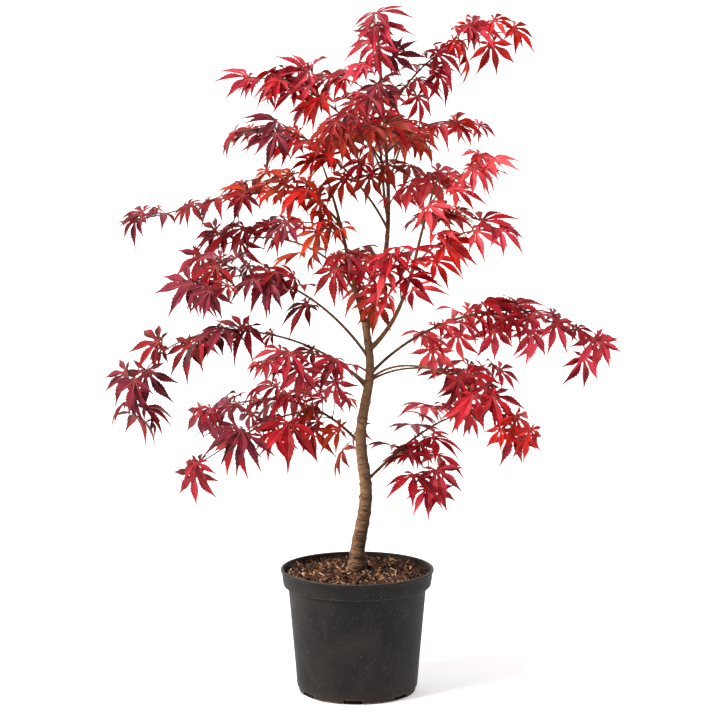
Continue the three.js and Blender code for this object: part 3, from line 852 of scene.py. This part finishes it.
# share of the trunk's length, compass angle, how far round to each side in radians, how far the middle sags
FOLDS = (
    (0.165, 272, 0.62, 2.6),
    (0.175, 266, 0.34, -1.8),
    (0.27, 262, 0.5, 3.4),
    (0.262, 262, 0.5, -2.6),
    (0.385, 284, 0.4, 2.2),
    (0.47, 255, 0.55, 1.6),
)

wood = Shape()
places = []
add_bark(wood, places, "trunk", TRUNK_SUNK, TRUNK_END, columns=52, step=1.4, scar_gap=30)
# Four stubs where twigs were pruned off stand out of the trunk, each with a rough cut end.
for share, compass, long, wide in STUBS:
    root = trunk_curve(share)
    out = heading(compass, 24)
    radius = trunk_thickness(share) / 2
    path = [root + out * (radius * 0.5 + long * k / 3) for k in range(4)]
    add_stick(wood, path, [wide * 0.75, wide * 0.55, wide * 0.5, wide * 0.4], sides=9)
    places += [(*v, 0.0) for v in wood.points[len(places) :]]
trunk = new_piece("trunk_wood", wood, trunk_bark, sharp_over=60)
set_places(trunk, places)
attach(trunk, "root")
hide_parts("trunk")

# Dark folds like eyebrows are left low down where twigs were shed.
folds = Shape()
for share, compass, half_round, sag in FOLDS:
    path = []
    for k in range(9):
        t = k / 4 - 1
        along = share + sag * (1 - t * t) / (TRUNK_HEAD - TRUNK_START)
        turn = compass + math.degrees(half_round) * t
        path.append(trunk_curve(along) + heading(turn, 0) * (trunk_thickness(along) / 2 + 0.2))
    add_stick(folds, path, [0.3, 0.6, 0.75, 0.8, 0.85, 0.8, 0.75, 0.6, 0.3], sides=6)
scar_material, _, _ = new_material("scar_cork", Base_Color=shade(44, 28, 19), Roughness=0.9)
scars = new_piece("branch_scars", folds, scar_material)
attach(scars, "root")

# piece, its limbs, points round each ring, step from ring to ring, gap from leaf scar to leaf scar
for piece_name, group, columns, step, scar_gap in (
    ("leader_wood", LEADERS, 20, 2.2, 30),
    ("bough_wood", BOUGHS, 14, 2.8, 26),
    ("twig_wood", TWIGS, 9, 4.0, 24),
):
    limbs = Shape()
    places = []
    for name in group:
        add_bark(limbs, places, name, 0.0, 1.0, columns, step, scar_gap)
    wood = new_piece(piece_name, limbs, bough_bark, sharp_over=60)
    set_places(wood, places)
    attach(wood, "root")
    if group is not TWIGS:
        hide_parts(*group)

# ------------------------------------------------------------------------------
# Side shoots and leaves
# Each limb goes on in thin red side shoots, in opposite pairs as maples grow. They carry hanging leaves of
# seven toothed fingers on thin red stalks. A shoot's leaves turn together, so a shoot has one autumn colour.
LEAF_LONG = 73
# angle in degrees and length of each finger, for a leaf one long
FINGERS = ((-116, 0.4), (-76, 0.75), (-38, 0.95), (0, 1.0), (38, 0.95), (76, 0.75), (116, 0.4))
CLEFT = 0.13  # how near to the stalk the clefts between the fingers come, for a leaf one long

# Half a finger's outline, as share of its length and half width: a narrow foot, a toothed belly, a thin tip.
FINGER_EDGE = (
    (0.17, 0.04),
    (0.25, 0.062),
    (0.32, 0.088),
    (0.38, 0.112),
    (0.395, 0.094),
    (0.455, 0.126),
    (0.47, 0.102),
    (0.535, 0.118),
    (0.55, 0.092),
    (0.615, 0.092),
    (0.63, 0.068),
    (0.7, 0.06),
    (0.715, 0.042),
    (0.82, 0.024),
    (0.92, 0.01),
)
FINGER_SPINE = (0.25, 0.38, 0.48, 0.57, 0.66, 0.75, 0.87)
RIM_AT = (0.1,) + tuple(t for t, _ in FINGER_EDGE)
SPINE_AT = (0,) + FINGER_SPINE
RIB_AT = (0.03, 0.3, 0.55, 0.8)
RIB_HALF_WIDTH = 0.007


def finger_place(finger, t, across):
    """A point of a finger in the leaf's own frame: forward, aside and up, for a leaf one long."""
    angle, long, bend, curl, fold = finger
    c = math.cos(angle)
    s = math.sin(angle)
    aside = (across + bend * t * t) * long
    x = c * t * long - s * aside
    y = s * t * long + c * aside
    r = math.hypot(x, y)
    z = fold * abs(across) * long - curl * r**1.7
    shrink = 1 - 0.28 * curl * r
    return x * shrink, y * shrink, z


def add_leaf(leaves, veins, joint, forward, up, size):
    """One leaf hung by its joint, with its fingers folded along their ribs and curling down at the tips."""
    aside = up.cross(forward).normalized()
    forward = aside.cross(up).normalized()
    curl = dice.uniform(0.2, 0.6)
    fold = dice.uniform(0.35, 0.85)

    def put(place, lift=0.0):
        x, y, z = place
        return (joint + (forward * x + aside * y + up * (z + lift)) * size) * MM

    start = leaves.add(put((0, 0, 0)))
    turned = [(math.radians(a + dice.uniform(-5, 5)), long * dice.uniform(0.9, 1.08)) for a, long in FINGERS]
    # The clefts: one before the first finger, one between each two, one after the last.
    angles = [angle for angle, _ in turned]
    edges = [angles[0] - 0.4, *((a + b) / 2 for a, b in zip(angles, angles[1:])), angles[-1] + 0.4]
    clefts = []
    for i, angle in enumerate(edges):
        reach = CLEFT if 0 < i < len(edges) - 1 else CLEFT * 0.6
        clefts.append(leaves.add(put(finger_place((angle, 1.0, 0, curl, 0), reach, 0))))
    for i, (angle, long) in enumerate(turned):
        bend = dice.uniform(-0.09, 0.09)
        finger = (angle, long, bend, curl * dice.uniform(0.8, 1.25), fold)
        spine = [start] + [leaves.add(put(finger_place(finger, t, 0))) for t in FINGER_SPINE]
        tip = leaves.add(put(finger_place(finger, 1.0, 0)))
        for side, cleft in ((-1, clefts[i]), (1, clefts[i + 1])):
            rim = [cleft]
            for t, across in FINGER_EDGE:
                rim.append(leaves.add(put(finger_place(finger, t, side * across))))
            add_strip(leaves.faces, spine, rim, tip, side)
        width = RIB_HALF_WIDTH
        rib = []
        for t in RIB_AT:
            for across in (-width, 0, width):
                lift = 0.006 if across == 0 else 0.001
                rib.append(veins.add(put(finger_place(finger, t, across * (1.1 - t)), lift)))
            width *= 0.9
        for row in range(3):
            for k in range(2):
                a = rib[row * 3 + k]
                b = rib[row * 3 + k + 1]
                veins.faces.append((a, b, b + 3, a + 3))


def add_strip(faces, spine, rim, tip, side):
    """Triangles between a finger's rib and one edge, both running out to the tip."""
    i = 0
    j = 0
    while i < len(spine) - 1 or j < len(rim) - 1:
        take_rim = i == len(spine) - 1 or (j < len(rim) - 1 and RIM_AT[j + 1] < SPINE_AT[i + 1])
        if take_rim:
            corners = (spine[i], rim[j], rim[j + 1])
            j += 1
        else:
            corners = (spine[i], rim[j], spine[i + 1])
            i += 1
        faces.append(corners if side < 0 else corners[::-1])
    corners = (spine[-1], rim[-1], tip)
    faces.append(corners if side < 0 else corners[::-1])


# name of the leaf mass: limb, its share where the leaves start, share where they end, reach to the sides,
# height over the limb, hang below it, gap from leaf pair to leaf pair, and its shoots' colours from the
# inside to the tip. The orange, russet and coral shoots, mostly near the inner ends, are autumn colour and
# partly painted light too: they stand for light shining through the leaves.
MASSES = {
    "crown_top": ("centre_leader", 0.81, 1.07, 62, 60, 60, 26, "crimson rose plum rose garnet"),
    "low_left_leaves": ("low_left", 0.08, 1.1, 92, 68, 56, 42, "orange crimson burgundy garnet plum garnet"),
    "weeping_left_leaves": ("weeping_left", 0.3, 1.1, 64, 30, 56, 66, "crimson garnet plum garnet"),
    "long_left_inner_leaves": ("long_left", 0.4, 0.72, 62, 40, 22, 50, "garnet plum burgundy"),
    "long_left_outer_leaves": ("long_left", 0.69, 1.25, 72, 32, 56, 62, "burgundy plum plum burgundy"),
    "mid_left_leaves": ("mid_left", 0.22, 1, 78, 34, 54, 72, "garnet crimson garnet crimson garnet"),
    "arching_left_leaves": (
        "arching_left", 0.36, 1.08, 96, 52, 42, 38,
        "burgundy burgundy plum burgundy plum plum",
    ),
    "fourth_left_leaves": (
        "fourth_left", 0.36, 1.1, 82, 50, 40, 56,
        "orange burgundy burgundy garnet burgundy",
    ),
    "fourth_left_front_leaves": (
        "fourth_left_front", 0.3, 1.1, 70, 30, 48, 58,
        "orange scarlet burgundy plum",
    ),
    "far_left_inner_leaves": (
        "far_left", 0.02, 0.62, 92, 68, 40, 26,
        "orange scarlet orange crimson burgundy",
    ),
    "far_left_outer_leaves": ("far_left", 0.6, 1.03, 54, 42, 20, 52, "burgundy plum burgundy"),
    "sixth_left_leaves": ("sixth_left", 0.28, 0.98, 90, 36, 46, 34, "orange scarlet rose plum rose crimson"),
    "seventh_left_leaves": ("seventh_left", 0.08, 1.1, 84, 66, 34, 33, "scarlet rose crimson rose scarlet"),
    "top_right_leaves": ("top_right", 0.28, 1.14, 72, 74, 52, 28, "crimson rose scarlet scarlet scarlet"),
    "second_right_leaves": ("second_right", 0.16, 1.12, 72, 28, 50, 68, "orange scarlet rose crimson rose"),
    "pink_right_leaves": ("pink_right", 0, 0.98, 76, 66, 38, 44, "coral coral coral coral"),
    "pink_inner_leaves": ("pink_inner", 0.15, 1.3, 58, 36, 44, 40, "coral rose"),
    "fourth_right_leaves": ("fourth_right", 0, 0.84, 56, 30, 42, 50, "russet scarlet crimson scarlet"),
    "fifth_right_leaves": ("fifth_right", 0.14, 1.1, 58, 42, 26, 48, "scarlet coral crimson rose"),
    "inner_right_leaves": ("inner_right", 0.12, 1.1, 58, 44, 40, 44, "coral crimson"),
    "inner_front_leaves": ("inner_front", 0.1, 1.2, 66, 26, 60, 58, "russet crimson crimson burgundy"),
    "long_right_inner_leaves": ("long_right", 0.24, 0.71, 84, 50, 72, 34, "coral rose crimson rose"),
    "long_right_outer_leaves": ("long_right", 0.66, 1.08, 64, 10, 100, 54, "rose garnet rose"),
    "low_right_leaves": ("low_right", 0.56, 1.12, 74, 40, 84, 44, "crimson garnet crimson garnet scarlet"),
    "low_right_back_leaves": ("low_right_back", 0.66, 1.2, 60, 14, 56, 56, "garnet crimson rose"),
    "lowest_right_leaves": ("lowest_right", 0.26, 1, 80, 72, 40, 60, "garnet rose rose"),
    "weeping_right_leaves": ("weeping_right", 0.25, 1.3, 50, 30, 50, 40, "crimson rose"),
    "back_mid_leaves": ("back_mid", 0.3, 1.12, 88, 22, 50, 54, "orange orange garnet crimson"),
    "back_upper_leaves": ("back_upper", 0.25, 1.12, 95, 32, 50, 54, "russet orange burgundy"),
    "front_upper_leaves": ("front_upper", 0.2, 1.12, 90, 32, 54, 58, "crimson russet burgundy crimson"),
    "front_top_leaves": ("front_top", 0.12, 1.12, 72, 34, 50, 54, "crimson burgundy garnet rose"),
    "back_top_leaves": ("back_top", 0.15, 1.15, 80, 50, 48, 44, "rose crimson rose"),
}
LARGE = 1.12
SMALL = 0.88
LEAF_SIZES = {
    "weeping_left_leaves": LARGE,
    "long_left_outer_leaves": LARGE,
    "weeping_right_leaves": LARGE,
    "front_upper_leaves": SMALL,
    "front_top_leaves": SMALL,
    "fourth_left_front_leaves": SMALL,
}
LIGHT = heading(264, 12)  # the plant has stood with this side to a window, and its leaves face that way
TRIES = 5  # how many ways to hang are tried for a leaf
LEAST_ROOM = 17  # a leaf nearer than this to another one, as the light comes, doesn't grow
MOST_DRAWN_BACK = 45  # how far at most a leaf past the mass's end is brought back
STALK_LENGTHS = (14, 28)
SHORTEST_SHOOT = 14
LONG_SHOOT = 34  # a shoot over this carries a third leaf
LEAF_REACH = 56  # how far the leaves of a shoot reach past its end
FAN_RISE = 22  # how far a leaf's fan reaches above its joint
UPRIGHT = 0.3  # a limb whose direction has less than this on the level counts as upright
PAIR_TURN = 137  # how far a pair of leaves on an upright limb is turned from the last, in degrees

tinted = {}
veins = Shape()
stalks = Shape()
shoots = Shape()


def compass_of(way):
    """The compass angle of a direction, in degrees."""
    return math.degrees(math.atan2(way.y, way.x))


def hang_leaf(leaves, node, compass, limb_way, stop, stalk, lift, droop, size):
    """A leaf on its stalk.

    The stalk arches out of the node. The leaf at its end is swept the way its limb runs, droops, and turns
    its face up, outward and to the light. No leaf reaches far past stop, the mass's end. Of a few ways to
    hang, it takes the one that is least in the light of the leaves before it.
    """
    onward = compass_of(limb_way)
    best = -1.0
    for _ in range(TRIES):
        turn = compass + dice.uniform(-28, 28)
        swept = (onward - turn + 180) % 360 - 180
        aim = heading(turn + swept * dice.uniform(0.3, 0.8), 0)
        d = math.radians(min(86, droop + dice.gauss(0, 13)))
        forward = aim * math.cos(d) - Vector((0, 0, math.sin(d)))
        reach = math.sqrt(max(stalk**2 - lift**2, 16)) * dice.uniform(0.8, 1.25)
        tried = node + heading(turn, 0) * reach + Vector((0, 0, lift * dice.uniform(0.8, 1.1)))
        over = (tried + forward * size - stop).dot(limb_way)
        if over > 0:
            tried -= limb_way * min(over, MOST_DRAWN_BACK)
        middle = tried + forward * size * 0.4
        room = min(((middle - other).cross(LIGHT).length for other in lit), default=size)
        if room > best:
            best = room
            chosen = (tried, forward, aim, middle)
    if best < LEAST_ROOM:
        return
    joint, forward, aim, middle = chosen
    lit.append(middle)
    knee = lerp(node, joint, 0.5) + Vector((0, 0, stalk * 0.16))
    path = bent(node, knee, joint, (0, 0.3, 0.6, 0.85, 1))
    add_stick(stalks, path, [1.0, 0.62, 0.55, 0.55, 0.7], sides=4)
    face = Vector((0, 0, 1)) + aim * 0.2 + LIGHT * dice.uniform(0.25, 1.1)
    face += Vector(dice.gauss(0, 0.2) for _ in range(3))
    face = (face - forward * face.dot(forward)).normalized()
    add_leaf(leaves, veins, joint, forward, face, size)


def leaf_scale():
    """How large a leaf is for its shoot: most are full grown, some little more than half so."""
    return dice.choice((0.58, 0.72, 0.86, 1.0, 1.08, 1.16)) * dice.uniform(0.92, 1.08)


def grow_shoot(leaves, node, compass, limb_way, stop, long, rise, hang, size):
    """A side shoot with two leaves at its end, or three if it is long. A very short one is a lone leaf."""
    if long < SHORTEST_SHOOT:
        stalk = math.hypot(dice.uniform(*STALK_LENGTHS), rise)
        droop = dice.gauss(hang, 13)
        hang_leaf(leaves, node, compass, limb_way, stop, stalk, rise, droop, size * leaf_scale())
        return
    end = node + heading(compass, 0) * long + Vector((0, 0, rise))
    knee = lerp(node, end, 0.5) + Vector((0, 0, long * 0.1))
    path = bent(node, knee, end, QUARTERS)
    add_stick(shoots, path, [1.4, 1.15, 1.0, 0.9, 0.7], sides=6)
    for side in (-1, 1):
        turn = compass + side * dice.uniform(30, 66)
        stalk = dice.uniform(*STALK_LENGTHS)
        lift = dice.uniform(-0.15, 0.5) * stalk
        droop = dice.gauss(hang, 13)
        hang_leaf(leaves, end, turn, limb_way, stop, stalk, lift, droop, size * leaf_scale())
    if long > LONG_SHOOT:
        turn = compass + dice.uniform(-14, 14)
        hang_leaf(leaves, end, turn, limb_way, stop, dice.uniform(12, 24), 3, dice.gauss(hang, 12), size)


for name, (limb, start, end, wide, crest, hang, gap, tints) in MASSES.items():
    tints = tints.split()
    lit = []
    dice = random.Random(name + " 22")
    curve = curves[limb]
    size = LEAF_LONG * LEAF_SIZES.get(name, 1.0)
    stop = curve(end)
    # The last node stands back from the mass's end, so that the leaves on it just reach there.
    back = 0.25 if name == "crown_top" else 0.8 if end > 0.8 else 0.4
    last = end - back * size / length_of(curve, 0, 1)
    gaps = max(2, round(length_of(curve, start, last) / gap))
    if last > 1:
        path = [curve(lerp(0.99, last, t / 4)) for t in range(5)]
        foot = thicknesses[limb](1) / 2
        add_stick(shoots, path, [lerp(foot, 0.8, t / 4) for t in range(5)], sides=6)
    for i in range(gaps + 1):
        share = lerp(start, last, (i + dice.uniform(-0.25, 0.25) * (0 < i < gaps)) / gaps)
        along = (share - start) / (end - start)
        # The mass is a long egg, drawn in at its inner end and its tip.
        taper = math.sqrt(max(0.25, 1 - (2 * along - 1) ** 4))
        node = curve(share)
        way = tangent(curve, share)
        level = way.to_2d().length
        if level < UPRIGHT:
            # An upright leader's leaves stand round it, each pair turned from the last.
            way = heading(PAIR_TURN * i, 0)
            level = 1.0
            stop = node + way * 1000
        onward = compass_of(way)
        fall = math.degrees(math.atan2(-way.z, way.to_2d().length))
        leaf_droop = min(74, 2 + hang * 0.24 + 8 * along + max(0, fall) * 0.7)
        # The fans of leaves reach above their joints, so the joints stand lower than the mass's crest.
        room = max(0, crest - FAN_RISE) * (1 - 0.6 * along) * taper * level
        for side in (-1, 1):
            picked = int(along * len(tints) + dice.uniform(-1.1, 1.1))
            tint = tints[min(len(tints) - 1, max(0, picked))]
            leaves = tinted.setdefault(tint, Shape())
            turn = onward + side * dice.uniform(48, 84)
            long = wide * taper * dice.uniform(0.7, 1.1) - LEAF_REACH
            rise = dice.uniform(-0.2 * hang, room)
            grow_shoot(leaves, node, turn, way, stop, long, rise, leaf_droop, size)
        if i % 2:
            # A leaf stands up out of the limb and hangs over it.
            turn = onward + dice.uniform(-70, 70)
            lift = room + 5
            stalk = math.hypot(lift, 16)
            droop = dice.gauss(leaf_droop, 12)
            hang_leaf(leaves, node, turn, way, stop, stalk, lift, droop, size * leaf_scale())
        if i % 2 == 0 and hang > 50:
            # Another hangs well under it on a long stalk.
            turn = onward + dice.uniform(-60, 60)
            drop = hang * dice.uniform(0.3, 0.6)
            hang_leaf(leaves, node, turn, way, stop, drop + 6, -drop, 72, size)
    # The end of the limb carries two smaller leaves.
    if end > 0.8:
        tip = max(last, min(1.0, end))
        way = tangent(curve, tip)
        onward = compass_of(way) if way.to_2d().length > UPRIGHT else compasses[limb]
        for side in (-1, 1):
            turn = onward + side * dice.uniform(20, 50)
            droop = min(80, leaf_droop + 10)
            hang_leaf(leaves, curve(tip), turn, way, stop, 14, 3, droop, size * dice.uniform(0.7, 0.95))

# name: the darker and the lighter shade that a leaf of the tint runs between
TINTS = {
    "plum": (shade(60, 6, 14), shade(148, 44, 62)),
    "burgundy": (shade(62, 2, 4), shade(158, 20, 28)),
    "garnet": (shade(86, 4, 12), shade(178, 34, 50)),
    "crimson": (shade(98, 2, 6), shade(202, 24, 40)),
    "scarlet": (shade(134, 4, 2), shade(228, 34, 24)),
    "rose": (shade(126, 6, 20), shade(226, 64, 82)),
    "coral": (shade(176, 22, 32), shade(246, 86, 92)),
    "orange": (shade(112, 16, 4), shade(210, 64, 20)),
    "russet": (shade(96, 18, 6), shade(178, 52, 26)),
}


def leaf_material(name, dark, light):
    """A thin leaf with a dull waxy face: mottled, with each leaf in its own share of the two shades."""
    made, tree, shader = new_material(name, Roughness=0.5, Specular_IOR_Level=0.2)
    place = object_place(tree)
    mottle = noise_over(tree, place, Scale=55.0, Detail=4.0)
    own = tree.nodes.new("ShaderNodeNewGeometry").outputs["Random Per Island"]
    share = math_node(tree, "ADD", own, ranged(tree, mottle, 0.3, 0.7, -0.3, 0.5))
    fine = noise_over(tree, place, Scale=900.0, Detail=2.0)
    dress(tree, shader, mix(tree, share, dark, light), fine, 0.3, 0.0006)
    return made


for tint, leaves in tinted.items():
    material = leaf_material(tint, *TINTS[tint])
    piece = new_piece("leaves_" + tint, leaves, material, sharp_over=24)
    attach(piece, "root")
    if tint == "crimson":
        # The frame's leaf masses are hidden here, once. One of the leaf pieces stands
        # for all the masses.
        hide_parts(*MASSES)

rib_material, _, _ = new_material("leaf_rib", Base_Color=shade(190, 92, 84), Roughness=0.5)
stalk_material, _, _ = new_material("leaf_stalk", Base_Color=shade(134, 34, 30), Roughness=0.5)
shoot_material, _, _ = new_material("red_shoot", Base_Color=shade(96, 44, 34), Roughness=0.6)
for piece_name, kind, material in (
    ("leaf_ribs", veins, rib_material),
    ("leaf_stalks", stalks, stalk_material),
    ("side_shoots", shoots, shoot_material),
):
    piece = new_piece(piece_name, kind, material)
    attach(piece, "root")
